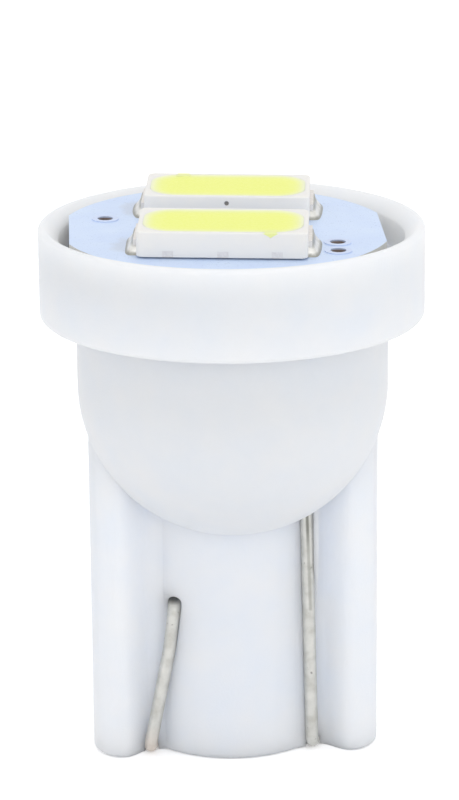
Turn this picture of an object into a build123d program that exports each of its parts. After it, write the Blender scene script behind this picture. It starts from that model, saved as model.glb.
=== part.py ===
from math import atan2, degrees, hypot, radians, sin, sqrt
import os

from build123d import *

# A wedge base LED bulb of the 10 mm size, in millimetres.
# The wedge runs along X, the front is -Y and +Z is up. Z = 0 is the foot of the plastic wedge,
# which the bulb stands on, and X = Y = 0 is the axis.

# Foot and wedge
wedge_width = 9.4
web_thickness = 1.16        # the thin web at the bottom of the grooves
barrel_thickness = 3.2      # the swollen middle of the wedge
barrel_radius = 3.45
edge_rib_width = 1.5        # the rounded rib along each edge of the wedge
edge_rib_thickness = 2.4
shoulder_inner = 1.1        # the flat shoulder between barrel and wire slit
shoulder_depth = 1.3
shoulder_rounding = 0.3
guide_rib_width = 0.3       # the short rib on the far side of the slit
guide_rib_depth = 1.0
guide_rib_end = 5.2         # height of its lower end above the foot
groove_rounding = 0.25
foot_chamfer = 0.2

# Neck and collar
neck_length = 2.27          # straight stretch between dome and collar
collar_height = 2.95
collar_chamfer = 0.15
collar_overhang = 1.165     # the collar stands out from the neck by this much
collar_rim = 0.655          # plastic round the board's recess
dome_centre_height = 12.53  # above the foot
wall = 0.7

# Cup inside the collar
recess_depth = 1.321
board_clearance = 0.23
lip_width = 0.2
lip_height = 0.25
counterbore_depth = 1.2
counterbore_clearance = 0.27  # round the solder of the outermost wire

# Circuit board
board_thickness = 1.0
board_end_margin = 0.65     # from the left hole's pad to the straight end
board_bulge = 0.3           # the round edge passes the straight ends by this much
board_turn = -5.6           # degrees about the axis, from the wedge
board_end_turn = 4.5        # degrees, the straight ends from the LEDs
board_tilt = 0.67           # degrees, right end down
board_pitch = 1.2           # degrees, front down
seat_gap = 0.01
hole_bore = 0.5
hole_plating = 0.05
hole_pad_width = 0.13
hole_pad_height = 0.03
left_hole_gap = 0.4         # from the solder of the LEDs to the hole's pad
right_hole_gap = 0.06
spare_hole_gap = 0.08
left_hole_y = 0.95
right_hole_y = -1.6
spare_hole_y = -2.6

# LED packages
led_length = 5.3
led_depth = 3.0
led_draft = 0.03            # the long walls lean in by this much
led_height = 0.8
led_pitch = 4.48
led_corner = 0.22
led_standoff = 0.05
window_length = 5.0
window_depth = 2.72
window_corner = 0.9
window_slope = 0.35         # the window's walls close in by this much down to its floor
fill_sink = 0.02
notch_place = 1.49          # the polarity notch in the front wall
notch_width = 0.52
notch_depth = 0.16
gate_mark_diameter = 0.22
gate_mark_depth = 0.04
frame_thickness = 0.2
frame_depth = 1.9
frame_gap = 0.3
frame_gap_place = 0.85
tie_bar_width = 0.34
tie_bar_places = (-1.67, 0.03, 1.7)
tab_thickness = 0.12
tab_height = 0.42
chip_place = -0.2
chip_length = 1.1
chip_depth = 0.7
chip_height = 0.15
solder_reach = 0.3
solder_spread = 0.2
solder_top_reach = 0.05

# Contact wires
wire_diameter = 0.42
wire_sides = 12             # the round wire is drawn with this many flats
wire_seat = 0.03            # gap between wire and groove floor
wire_foot_gap = 0.01        # the wires end this far above the foot's level
wire_clearance = 0.025
slit_width = 0.48
front_top_place = 2.3
front_foot_place = 2.48
back_foot_place = 2.9
back_knee_place = 2.2
back_knee_height = 3.65
back_tip_place = 1.98
back_tip_height = 5.35
tip_length = 0.9
tip_hole_diameter = 0.7
tip_hole_spare = 0.1
tip_hole_rise = 0.04
foot_slot_height = 0.54
foot_bend = 0.4
tip_bend = 0.34
cup_bend = 0.8
cup_drop = 0.9              # straight stretch of wire below the board
cup_jog = 3.6
wire_end_sink = 0.35        # the wire ends this far below the board's top
wire_joint_diameter = 0.86
wire_joint_height = 0.55

# Series resistor
resistor_length = 3.2
resistor_depth = 1.6
resistor_height = 0.55
resistor_cap_length = 0.45
resistor_skin = 0.03        # how far the caps stand proud of the ceramic
resistor_solder_reach = 0.45
resistor_solder_height = 0.42

# Derived places
collar_bottom = dome_centre_height + neck_length
collar_top = collar_bottom + collar_height
ledge_z = collar_top - recess_depth
led_reach = led_length / 2 + tab_thickness + solder_reach
pad_radius = hole_bore / 2 + hole_plating + hole_pad_width
left_hole = (-led_reach - left_hole_gap - pad_radius, left_hole_y)
right_hole = (led_reach + right_hole_gap + pad_radius, right_hole_y)
spare_hole = (led_reach + spare_hole_gap + pad_radius, spare_hole_y)
board_half_length = pad_radius + board_end_margin - left_hole[0]
board_radius = board_half_length + board_bulge
recess_radius = board_radius + board_clearance
collar_radius = recess_radius + collar_rim
neck_radius = collar_radius - collar_overhang
cavity_radius = neck_radius - wall
counterbore_radius = hypot(*left_hole) + wire_joint_diameter / 2 + counterbore_clearance
board_shift = -0.8 * board_clearance
web_half = web_thickness / 2
wire_radius = wire_diameter / 2
wire_y = web_half + wire_seat + wire_radius
slit_inner = front_top_place - slit_width / 2
slit_outer = slit_inner + slit_width
board_slope = hypot(board_tilt, board_pitch)
board_rise = board_radius * sin(radians(board_slope)) + seat_gap
board_top = ledge_z + board_thickness + board_rise
board_lean = Rot(board_pitch, 0, 0) * Rot(0, board_tilt, 0)
engine_place = Pos(board_shift, 0, board_top) * Rot(0, 0, board_turn) * board_lean


def half_turn(shape, side):
    """The wedge and its wires look the same after half a turn about Z."""
    if side > 0:
        return shape
    return Rot(0, 0, 180) * shape


def wedge_section():
    """Cross-section of the wedge: web, edge ribs, barrel and two shoulders."""
    rib_x = wedge_width / 2 - edge_rib_width / 2
    lens_offset = barrel_radius - barrel_thickness / 2
    section = Rectangle(2 * rib_x, web_thickness)
    for x in (-rib_x, rib_x):
        section += Pos(x, 0) * SlotOverall(edge_rib_thickness, edge_rib_width, rotation=90)
    front_arc = Pos(0, lens_offset) * Circle(barrel_radius)
    back_arc = Pos(0, -lens_offset) * Circle(barrel_radius)
    section += front_arc & back_arc
    shoulder_width = slit_inner - shoulder_inner
    shoulder = RectangleRounded(shoulder_width, shoulder_depth, shoulder_rounding)
    shoulder = Pos(shoulder_inner + shoulder_width / 2, -shoulder_depth / 2) * shoulder
    for side in (1, -1):
        section += half_turn(shoulder, side)
    section = offset(section, groove_rounding, kind=Kind.ARC)
    return offset(section, -groove_rounding, kind=Kind.ARC)


def guide_rib(side):
    """Short rib that closes the far side of the slit, from the dome down to guide_rib_end."""
    length = dome_centre_height - guide_rib_end
    x = slit_outer + guide_rib_width / 2
    rib = Box(guide_rib_width, guide_rib_depth, length, align=(Align.CENTER, Align.MAX, Align.MIN))
    rib = fillet(rib.edges().group_by(Axis.Z)[0].group_by(Axis.Y)[0], guide_rib_width)
    return half_turn(Pos(x, 0, guide_rib_end) * rib, side)


def dome_arc(radius):
    """Quarter circle of the dome, from the axis up to the neck."""
    reach = radius * sqrt(0.5)
    return ThreePointArc(
        (0, dome_centre_height - radius),
        (reach, dome_centre_height - reach),
        (radius, dome_centre_height),
    )


def cup_outside():
    """Half section of collar, neck and dome as one solid form, to turn about Z."""
    corner_radius = collar_radius - collar_chamfer
    side_line = Polyline(
        (neck_radius, dome_centre_height),
        (neck_radius, collar_bottom),
        (corner_radius, collar_bottom),
        (collar_radius, collar_bottom + collar_chamfer),
        (collar_radius, collar_top - collar_chamfer),
        (corner_radius, collar_top),
        (0, collar_top),
        (0, dome_centre_height - neck_radius),
    )
    outline = dome_arc(neck_radius) + side_line
    return Plane.XZ * make_face(outline.edges())


def cup_inside():
    """Half section of the room inside: recess, ledge, counterbore and a flat-floored cavity."""
    floor_radius = cavity_radius * sqrt(0.5)
    floor_z = dome_centre_height - floor_radius
    counterbore_z = ledge_z - counterbore_depth
    outline = Polyline(
        (0, floor_z),
        (floor_radius, floor_z),
        (cavity_radius, dome_centre_height),
        (cavity_radius, counterbore_z - (counterbore_radius - cavity_radius)),
        (counterbore_radius, counterbore_z),
        (counterbore_radius, ledge_z),
        (recess_radius, ledge_z),
        (recess_radius, collar_top - lip_height),
        (recess_radius + lip_width, collar_top),
        (0, collar_top),
        (0, floor_z),
    )
    return Plane.XZ * make_face(outline.edges())


def wire_points(side, hole):
    """Corners of one contact wire, from the board hole to the tucked-in tip."""
    hole_place = (engine_place * Pos(hole[0], hole[1], 0)).position
    jog_top = hole_place.Z - board_thickness - cup_drop
    low_z = wire_foot_gap + wire_radius
    legs = [
        (front_top_place, -wire_y, jog_top - cup_jog),
        (front_foot_place, -wire_y, low_z),
        (back_foot_place, wire_y, low_z),
        (back_knee_place, wire_y, back_knee_height),
        (back_tip_place, wire_y, back_tip_height),
        (back_tip_place, wire_y - tip_length, back_tip_height),
    ]
    points = [
        Vector(hole_place.X, hole_place.Y, hole_place.Z - wire_end_sink),
        Vector(hole_place.X, hole_place.Y, jog_top),
    ]
    for x, y, z in legs:
        points.append(Vector(side * x, side * y, z))
    return points


def make_wire(points):
    """Wire along straight runs joined by arcs."""
    bends = [cup_bend, cup_bend, foot_bend, foot_bend, cup_bend, tip_bend]
    path = FilletPolyline(points, radius=bends)
    start = Plane(origin=path @ 0, z_dir=path % 0)
    return sweep(start * RegularPolygon(wire_radius, wire_sides), path=path)


def straight_hole(start, end, diameter):
    """Round hole along one run of a wire."""
    run = end - start
    middle = Plane(origin=(start + end) / 2, z_dir=run)
    return middle.location * Cylinder(diameter / 2, run.length)


def open_slot(start, end, width):
    """Round-ended slot along one run of a wire, open to the outside."""
    run = end - start
    middle = (start + end) / 2
    side = 1 if middle.Y > 0 else -1
    floor_y = side * (wire_y - width / 2)
    plane = Plane(origin=(middle.X, floor_y, middle.Z), x_dir=run, z_dir=(0, side, 0))
    return extrude(plane * SlotCenterToCenter(run.length, width), barrel_thickness)


def wire_slit(side):
    """Deep slit that the long leg of a wire lies in, from the dome down to the guide rib's end."""
    length = dome_centre_height - guide_rib_end
    slit = Box(slit_width, barrel_thickness, length, align=(Align.MIN, Align.MAX, Align.MIN))
    return half_turn(Pos(slit_inner, -web_half, guide_rib_end) * slit, side)


def tip_hole(tip, side):
    """Blind hole that takes the end of a wire, a little above and beyond it."""
    reach = barrel_thickness / 2
    length = reach + tip_length - wire_y + tip_hole_spare
    middle_y = side * (reach - length / 2)
    drill = Rot(90, 0, 0) * Cylinder(tip_hole_diameter / 2, length)
    return Pos(tip.X, middle_y, tip.Z + tip_hole_rise) * drill


def foot_slot(start, end, width):
    """Slot across the foot, in which a wire passes under the web."""
    run = end - start
    middle = (start + end) / 2
    slot = Box(run.length + wire_diameter, width, 2 * foot_slot_height)
    plane = Plane(origin=(middle.X, middle.Y, 0), x_dir=(run.X, run.Y, 0), z_dir=(0, 0, 1))
    return plane.location * slot


def wire_cuts(side, hole):
    """Everything that the housing leaves free for one wire."""
    front_top, front_foot, back_foot, knee, tip = wire_points(side, hole)[2:7]
    width = wire_diameter + 2 * wire_clearance
    return [
        straight_hole(front_top, front_foot, width),
        foot_slot(front_foot, back_foot, width),
        open_slot(back_foot, knee, width),
        open_slot(knee, tip, width),
        tip_hole(tip, side),
    ]


def make_housing():
    """Collar, neck, dome and wedge, moulded in one."""
    wedge = extrude(wedge_section(), dome_centre_height)
    wedge = chamfer(wedge.edges().group_by(Axis.Z)[0], foot_chamfer)
    for side in (1, -1):
        wedge += guide_rib(side)
        wedge -= wire_slit(side)
    housing = revolve(cup_outside(), Axis.Z) + wedge
    housing -= revolve(cup_inside(), Axis.Z)
    for side, hole in ((1, right_hole), (-1, left_hole)):
        for cut in wire_cuts(side, hole):
            housing -= cut
    return housing


def make_board():
    """Round board with two straight ends and three drilled holes; its top face is at Z = 0."""
    ends = Rectangle(2 * board_half_length, 2 * board_radius, rotation=board_end_turn)
    outline = Circle(board_radius) & ends
    for hole in (left_hole, right_hole, spare_hole):
        outline -= Pos(hole[0], hole[1]) * Circle(hole_bore / 2 + hole_plating)
    return extrude(outline, -board_thickness)


def make_plated_hole(hole):
    """Copper sleeve through the board, with a ring-shaped pad at each end."""
    bore = Circle(hole_bore / 2)
    sleeve = extrude(Circle(hole_bore / 2 + hole_plating) - bore, -board_thickness)
    ring = Circle(pad_radius) - bore
    sleeve += extrude(ring, hole_pad_height)
    sleeve += Pos(0, 0, -board_thickness) * extrude(ring, -hole_pad_height)
    return Pos(hole[0], hole[1], 0) * sleeve


def loft_up(lower, upper, low, high):
    """Solid between two flat outlines, one above the other."""
    return loft([(Pos(0, 0, low) * lower).face(), (Pos(0, 0, high) * upper).face()])


def led_block():
    """Outside of an LED package, with long walls that lean in."""
    lower = RectangleRounded(led_length, led_depth + 2 * led_draft, led_corner)
    upper = RectangleRounded(led_length, led_depth, led_corner)
    return loft_up(lower, upper, led_standoff, led_standoff + led_height)


def led_window():
    """Round-ended well of an LED, with the notch through its front wall."""
    top = led_standoff + led_height
    depth = led_height - frame_thickness
    mouth = Pos(0, 0, top) * RectangleRounded(window_length, window_depth, window_corner)
    well = extrude(mouth, depth, dir=(0, 0, -1), taper=degrees(atan2(window_slope, depth)))
    triangle = Plane.XZ * Polygon(
        (notch_place - notch_width / 2, top),
        (notch_place, top - notch_depth),
        (notch_place + notch_width / 2, top),
        align=None,
    )
    return well + extrude(triangle, led_depth)


def lead_frame(end):
    """Plate under half of an LED with its tab up the end wall: end -1 is the cathode, +1 the anode."""
    on_board = (Align.CENTER, Align.CENTER, Align.MIN)
    inner_x = frame_gap_place + end * frame_gap / 2
    outer_x = end * (led_length / 2 + tab_thickness)
    plate = Box(abs(outer_x - inner_x), frame_depth, frame_thickness, align=on_board)
    frame = Pos((inner_x + outer_x) / 2, 0, led_standoff) * plate
    tab = Box(tab_thickness, frame_depth, tab_height, align=on_board)
    frame += Pos(outer_x - end * tab_thickness / 2, 0, led_standoff) * tab
    bar = Box(tie_bar_width, led_depth / 2, frame_thickness, align=(Align.CENTER, Align.MAX, Align.MIN))
    for x in tie_bar_places:
        if end * (x - frame_gap_place) > 0:
            frame += Pos(x, 0, led_standoff) * bar
    return frame


def led_solder(end):
    """Solder joint at one end of an LED, with its thin film under the package."""
    top = led_standoff + tab_height - solder_top_reach
    lower = Rectangle(2 * (tab_thickness + solder_reach), frame_depth + 2 * solder_spread)
    upper = Rectangle(2 * (tab_thickness + solder_top_reach), frame_depth)
    mound = loft_up(lower, upper, 0, top)
    return Pos(end * led_length / 2, 0, 0) * mound - led_block() - lead_frame(end)


def make_led():
    """One LED package as a dictionary of its pieces, standing on Z = 0."""
    frames = {"cathode": lead_frame(-1), "anode": lead_frame(1)}
    top = led_standoff + led_height
    window = led_window()
    block = led_block()
    chip = Box(chip_length, chip_depth, chip_height, align=(Align.CENTER, Align.CENTER, Align.MIN))
    chip = Pos(chip_place, 0, led_standoff + frame_thickness) * chip
    above = Box(2 * led_length, 2 * led_depth, led_height, align=(Align.CENTER, Align.CENTER, Align.MIN))
    gate_mark = Rot(90, 0, 0) * Cylinder(gate_mark_diameter / 2, 2 * gate_mark_depth)
    body = block - window - frames["cathode"] - frames["anode"]
    body -= Pos(0, led_depth / 2 + led_draft / 2, led_standoff + led_height / 2) * gate_mark
    fill = (window & block) - chip - Pos(0, 0, top - fill_sink) * above
    return {
        "body": body,
        "phosphor": fill,
        "chip": chip,
        "cathode": frames["cathode"],
        "anode": frames["anode"],
        "cathode_solder": led_solder(-1),
        "anode_solder": led_solder(1),
    }


def make_wire_solder(hole, wire):
    """Cone of solder round a wire, on the underside of the board."""
    height = wire_joint_height
    cone = Cone(wire_radius + hole_plating, wire_joint_diameter / 2, height)
    low = -board_thickness - hole_pad_height - height / 2
    return engine_place * Pos(hole[0], hole[1], low) * cone - wire


def make_resistor():
    """Chip resistor under the board: ceramic, end caps and their solder, hung from Z = 0."""
    down = (Align.CENTER, Align.CENTER, Align.MAX)
    inner_length = resistor_length - 2 * resistor_cap_length
    inner_height = resistor_height - 2 * resistor_skin
    ceramic = Box(inner_length, resistor_depth - 2 * resistor_skin, inner_height, align=down)
    cap = Box(resistor_cap_length, resistor_depth, resistor_height, align=down)
    cap_x = (resistor_length - resistor_cap_length) / 2
    pieces = {"resistor_body": Pos(0, 0, -resistor_skin) * ceramic}
    for name, end in (("left", -1), ("right", 1)):
        pieces["resistor_" + name + "_cap"] = Pos(end * cap_x, 0, 0) * cap
        edge = end * resistor_length / 2
        hollow = Vector(edge + end * resistor_solder_reach / 3, -resistor_solder_height / 3)
        tip = Vector(edge + end * resistor_solder_reach, 0)
        corner = Vector(edge, 0)
        low = Vector(edge, -resistor_solder_height)
        outline = Line(corner, tip) + ThreePointArc(tip, hollow, low) + Line(low, corner)
        face = Plane.XZ * make_face(outline.edges())
        pieces["resistor_" + name + "_solder"] = extrude(face, resistor_depth / 2, both=True)
    return pieces


def make_parts():
    """Every piece of the bulb by name, in its place."""
    parts = {"wedge_housing": make_housing(), "circuit_board": engine_place * make_board()}
    holes = {"left": left_hole, "right": right_hole, "spare": spare_hole}
    for name, hole in holes.items():
        parts[name + "_plated_hole"] = engine_place * make_plated_hole(hole)
    for name, side in (("front", -1), ("rear", 1)):
        turn = 0 if side < 0 else 180
        place = engine_place * Pos(0, side * led_pitch / 2, 0) * Rot(0, 0, turn)
        for piece, shape in make_led().items():
            parts[name + "_led_" + piece] = place * shape
    for name, side in (("left", -1), ("right", 1)):
        wire = make_wire(wire_points(side, holes[name]))
        parts[name + "_contact_wire"] = wire
        parts[name + "_wire_solder"] = make_wire_solder(holes[name], wire)
    for name, shape in make_resistor().items():
        parts[name] = engine_place * Pos(0, 0, -board_thickness) * shape
    return parts


os.makedirs("parts", exist_ok=True)
for node, shape in make_parts().items():
    export_step(shape, "parts/" + node + ".step")
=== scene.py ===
import bmesh
import bpy
import numpy as np
from math import cos, pi, radians, sin, tan
from mathutils import Matrix, Vector


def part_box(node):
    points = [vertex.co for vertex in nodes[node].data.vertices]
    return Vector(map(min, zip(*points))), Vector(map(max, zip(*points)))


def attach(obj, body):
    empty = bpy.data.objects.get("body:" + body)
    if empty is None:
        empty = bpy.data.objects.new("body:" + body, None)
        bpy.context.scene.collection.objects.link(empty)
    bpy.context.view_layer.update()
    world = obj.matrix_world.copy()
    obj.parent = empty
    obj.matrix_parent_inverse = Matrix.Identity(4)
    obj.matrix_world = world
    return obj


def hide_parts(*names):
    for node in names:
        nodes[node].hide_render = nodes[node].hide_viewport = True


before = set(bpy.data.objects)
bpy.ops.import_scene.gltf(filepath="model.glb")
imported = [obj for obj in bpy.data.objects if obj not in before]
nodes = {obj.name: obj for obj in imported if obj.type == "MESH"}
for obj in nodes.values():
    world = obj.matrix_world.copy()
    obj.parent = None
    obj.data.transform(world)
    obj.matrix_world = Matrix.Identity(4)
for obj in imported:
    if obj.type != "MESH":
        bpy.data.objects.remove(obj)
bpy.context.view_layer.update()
print("frame loaded:", len(nodes), "nodes")

mm = 0.001  # every size below is in millimetres, and a finished mesh is scaled once to metres
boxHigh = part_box("wedge_housing")[1]
collarRadius = min(boxHigh.x, boxHigh.y) / mm - 0.001  # a hair inside the solid collar
collarTop = boxHigh.z / mm
turnHalf = Matrix.Rotation(pi, 4, "Z")


# Places shared by the pieces, all from the driving sizes

board = {
    "thickness": 1.0,
    "turn": -5.6,           # degrees about the axis, from the wedge
    "tilt": 0.67,           # degrees, right end down
    "pitch": 1.2,           # degrees, front down
    "shift": -0.184,        # off the axis, to the left
    "ledgeDepth": 1.321,    # collar top to the ledge that the board lies on
    "rise": 0.1366,         # the sloping board's middle stands this far above the ledge
    "leftHole": (-3.9, 0.95),
    "rightHole": (3.56, -1.6),
}

wire = {
    "diameter": 0.42,
    "y": 0.82,              # off the middle of the wedge
    "footGap": 0.01,
    "footBelow": 0.3,       # the slot across the foot is cut from this far below it
    "frontTop": 2.21,
    "frontFoot": 2.48,
    "backFoot": 2.88,
    "knee": (2.2, 3.65),    # place across the wedge, height
    "tip": (2.0, 5.18),
    "holeTop": 5.5,         # the hole stays open above the tip up to here
    "mouthAhead": 1.0,      # the hole is cut from this far in front of the wire
    "holeSpare": 1.1,       # and this much deeper than the tip is long
    "tipLength": 0.9,
    "cupDrop": 0.9,
    "cupJog": 3.6,
    "endSink": 0.35,
    "endRound": 0.06,
    "bends": (0.8, 0.8, 0.25, 0.25, 0.8, 0.34),
    "clearance": 0.008,
}

boardTop = collarTop - board["ledgeDepth"] + board["thickness"] + board["rise"]
enginePlace = (
    Matrix.Translation((board["shift"], 0, boardTop))
    @ Matrix.Rotation(radians(board["turn"]), 4, "Z")
    @ Matrix.Rotation(radians(board["pitch"]), 4, "X")
    @ Matrix.Rotation(radians(board["tilt"]), 4, "Y")
)


# Mesh tools

def unit(vector):
    # The same direction at length 1.
    return vector / np.linalg.norm(vector)


def roundedPath(corners, radii, steps=8):
    # Straight runs with each inner corner swapped for an arc of its radius, tangent to both runs:
    # centre = corner + bisector * radius / cos(turn / 2), in two or three dimensions alike.
    corners = [np.array(corner, float) for corner in corners]
    path = [corners[0][None]]
    for before, corner, after, radius in zip(corners, corners[1:], corners[2:], radii):
        back, ahead = unit(before - corner), unit(after - corner)
        turn = pi - np.arccos(np.clip(back @ ahead, -1, 1))
        if radius == 0 or turn < 1e-4:
            path.append(corner[None])
            continue
        centre = corner + unit(back + ahead) * radius / cos(turn / 2)
        first = unit(corner + back * radius * tan(turn / 2) - centre)
        angle = np.linspace(0, turn, steps + 1)[:, None]
        path.append(centre + radius * (first * np.cos(angle) - back * np.sin(angle)))
    path.append(corners[-1][None])
    return np.concatenate(path)


def ringAt(halfX, halfY, corner, z, steps=8):
    # Closed outline of a rounded rectangle at height z: a quarter arc at each corner, centre plus
    # radius times (cos, sin), and each side in equal steps.
    points = []
    for quarter in range(4):
        signX, signY = ((1, 1), (-1, 1), (-1, -1), (1, -1))[quarter]
        angle = (quarter + np.linspace(0, 1, steps + 1)) * pi / 2
        centre = np.array([signX * (halfX - corner), signY * (halfY - corner)])
        points.append(centre + corner * np.stack([np.cos(angle), np.sin(angle)], axis=1))
    outline = []
    for quarter in range(4):
        start, end = points[quarter][-1], points[(quarter + 1) % 4][0]
        share = np.linspace(0, 1, steps + 1)[1:-1, None]
        outline += [points[quarter], start + share * (end - start)]
    return np.insert(np.concatenate(outline), 2, z, axis=1)


def shellMesh(rings, capStart=True, capEnd=True):
    # Closed skin over rings of equally many points, with a flat cap on each end ring.
    rings = np.asarray(rings, float)
    rows, cols = rings.shape[:2]
    row = np.arange(rows - 1)[:, None] * cols
    col = np.arange(cols)[None]
    ahead = (col + 1) % cols
    quads = np.stack([row + col, row + ahead, row + cols + ahead, row + cols + col], axis=-1)
    faces = quads.reshape(-1, 4).tolist()
    if capStart:
        faces.append(list(range(cols))[::-1])
    if capEnd:
        faces.append(list(range((rows - 1) * cols, rows * cols)))
    return rings.reshape(-1, 3), faces


def revolved(profile, segments=256):
    # Surface of revolution: x = r cos a, y = r sin a, z = z for each point (r, z) of the profile.
    angle = np.linspace(0, 2 * pi, segments, endpoint=False)
    r, z = profile[:, 0][:, None], profile[:, 1][:, None]
    rings = np.stack([r * np.cos(angle), r * np.sin(angle), z + 0 * angle], axis=-1)
    return shellMesh(rings, capStart=False, capEnd=False)


def tube(path, radius, sides, endRound=0.0):
    # Round bar carried along a path: a frame is passed from point to point, turned only as the path turns.
    # With endRound, the last rings shrink as a quarter circle, so the cut ends are eased.
    path = np.asarray(path, float)
    if endRound:
        ease = np.linspace(0, pi / 2, 5)[:-1]
        inset = endRound * (1 - np.sin(ease))
        drop = endRound * (1 - np.cos(ease))
        startRun, endRun = unit(path[1] - path[0]), unit(path[-1] - path[-2])
        head = [path[0] + startRun * d for d in drop]
        tail = [path[-1] - endRun * d for d in drop[::-1]]
        path = np.concatenate([head, [path[0] + startRun * endRound], path[1:-1],
                               [path[-1] - endRun * endRound], tail])
        radii = np.full(len(path), radius)
        radii[:len(ease)] -= inset
        radii[-len(ease):] -= inset[::-1]
    else:
        radii = np.full(len(path), radius)
    runs = np.gradient(path, axis=0)
    runs /= np.linalg.norm(runs, axis=1)[:, None]
    side = unit(np.cross(runs[0], [0.3, 1, 0.2]))
    angle = np.linspace(0, 2 * pi, sides, endpoint=False)[:, None]
    rings = []
    for point, run, size in zip(path, runs, radii):
        side = unit(side - run * (side @ run))
        rings.append(point + size * (np.cos(angle) * side + np.sin(angle) * np.cross(run, side)))
    return shellMesh(rings)


def boxMesh(low, high):
    # Closed box between two opposite corners.
    low, high = np.array(low, float), np.array(high, float)
    ring = np.array([[0, 0], [1, 0], [1, 1], [0, 1]])
    rings = [[[*(low[:2] + corner * (high - low)[:2]), z] for corner in ring] for z in (low[2], high[2])]
    return shellMesh(rings)


def prism(outline, origin, xAxis, yAxis, depth):
    # Flat outline carried straight along depth.
    flat = np.array(origin) + outline[:, :1] * np.array(xAxis) + outline[:, 1:] * np.array(yAxis)
    return shellMesh([flat, flat + np.array(depth)])


def solid(name, shape, matrix=None):
    # An object from points and faces: doubled points merged, poles closed, faces turned outwards.
    points, faces = shape
    mesh = bpy.data.meshes.new(name)
    mesh.from_pydata(np.asarray(points).tolist(), [], faces)
    work = bmesh.new()
    work.from_mesh(mesh)
    bmesh.ops.remove_doubles(work, verts=work.verts, dist=1e-5)
    bmesh.ops.recalc_face_normals(work, faces=work.faces)
    work.to_mesh(mesh)
    work.free()
    if matrix is not None:
        mesh.transform(matrix)
    piece = bpy.data.objects.new(name, mesh)
    bpy.context.scene.collection.objects.link(piece)
    return piece


def pointsOf(piece):
    points = np.empty(3 * len(piece.data.vertices), np.float32)
    piece.data.vertices.foreach_get("co", points)
    return points.reshape(-1, 3).astype(float)


def setMark(piece, name, values):
    # One number for each point of the mesh, which a material reads by its name.
    attribute = piece.data.attributes.new(name, "FLOAT", "POINT")
    attribute.data.foreach_set("value", np.asarray(values, np.float32))


def combine(base, tools, operation):
    # Joins or cuts base with each tool in turn, and clears the tools away.
    for tool in tools:
        step = base.modifiers.new(operation.lower(), "BOOLEAN")
        step.operation = operation
        step.solver = "EXACT"
        step.object = tool
        bpy.context.view_layer.update()
        depsgraph = bpy.context.evaluated_depsgraph_get()
        result = bpy.data.meshes.new_from_object(base.evaluated_get(depsgraph))
        base.modifiers.clear()
        base.data = result
        bpy.data.objects.remove(tool)
    return base


def settle(piece, name, material, stands, smoothAngle=32):
    # Scales the finished mesh to metres, smooths it, and puts the piece on the frame, where it stands
    # for the solids named.
    piece.name = name
    piece.data.name = name
    piece.data.transform(Matrix.Scale(mm, 4))
    piece.data.shade_smooth()
    piece.data.set_sharp_from_angle(angle=radians(smoothAngle))
    piece.data.materials.clear()
    piece.data.materials.append(material)
    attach(piece, "root")
    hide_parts(*stands)


# Material tools

def newMaterial(name, colour, roughness, metallic=0.0, **sockets):
    # A material on the standard shader, with its plain values on the shader's own sockets.
    material = bpy.data.materials.new(name)
    material.use_nodes = True
    shader = material.node_tree.nodes["Principled BSDF"]
    shader.inputs["Base Color"].default_value = (*colour, 1)
    shader.inputs["Roughness"].default_value = roughness
    shader.inputs["Metallic"].default_value = metallic
    for socket, value in sockets.items():
        shader.inputs[socket.replace("_", " ")].default_value = value
    return material, material.node_tree, shader


def add(tree, kind, **values):
    # Adds a node. A value whose name is an input goes to that input, any other is a setting of the node.
    node = tree.nodes.new(kind)
    for key, value in values.items():
        if hasattr(node, key):
            setattr(node, key, value)
        else:
            node.inputs[key.replace("_", " ")].default_value = value
    return node


def objectPlace(tree, scale=(1000, 1000, 1000), turn=(0, 0, 0)):
    # Object coordinates counted in millimetres.
    source = add(tree, "ShaderNodeTexCoord")
    mapping = add(tree, "ShaderNodeMapping", Scale=scale, Rotation=turn)
    tree.links.new(source.outputs["Object"], mapping.inputs["Vector"])
    return mapping.outputs["Vector"]


def separate(tree, vector):
    # The parts of a vector, as outputs named X, Y and Z.
    node = add(tree, "ShaderNodeSeparateXYZ")
    tree.links.new(vector, node.inputs[0])
    return node.outputs


def noise(tree, place, scale, detail=3.0, roughness=0.55):
    node = add(tree, "ShaderNodeTexNoise", Scale=scale, Detail=detail, Roughness=roughness)
    tree.links.new(place, node.inputs["Vector"])
    return node.outputs["Fac"]


def ramp(tree, fac, stops):
    # Colour ramp from (place, colour) pairs.
    node = add(tree, "ShaderNodeValToRGB")
    while len(node.color_ramp.elements) < len(stops):
        node.color_ramp.elements.new(0.5)
    for element, (place, colour) in zip(node.color_ramp.elements, stops):
        element.position = place
        element.color = (*colour, 1)
    tree.links.new(fac, node.inputs["Fac"])
    return node.outputs["Color"]


def stretch(tree, value, low, high, toLow, toHigh):
    # Straight line from toLow at low to toHigh at high, and level outside them.
    node = add(tree, "ShaderNodeMapRange", From_Min=low, From_Max=high, To_Min=toLow, To_Max=toHigh)
    tree.links.new(value, node.inputs["Value"])
    return node.outputs["Result"]


def mixColour(tree, fac, first, second):
    # Colour mix. Each of first and second is a colour or an output.
    node = tree.nodes.new("ShaderNodeMix")
    node.data_type = "RGBA"
    tree.links.new(fac, node.inputs[0])
    for socket, value in ((node.inputs[6], first), (node.inputs[7], second)):
        if isinstance(value, tuple):
            socket.default_value = (*value, 1)
        else:
            tree.links.new(value, socket)
    return node.outputs[2]


def calculate(tree, operation, first, second=0.0):
    # One step of arithmetic. Each of first and second is a number or an output.
    node = add(tree, "ShaderNodeMath", operation=operation)
    for socket, value in zip(node.inputs, (first, second)):
        if isinstance(value, (int, float)):
            socket.default_value = value
        else:
            tree.links.new(value, socket)
    return node.outputs[0]


def bump(tree, shader, height, depth):
    # Bump with its depth in millimetres.
    node = add(tree, "ShaderNodeBump", Strength=1.0, Distance=depth * mm)
    tree.links.new(height, node.inputs["Height"])
    tree.links.new(node.outputs["Normal"], shader.inputs["Normal"])


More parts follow.
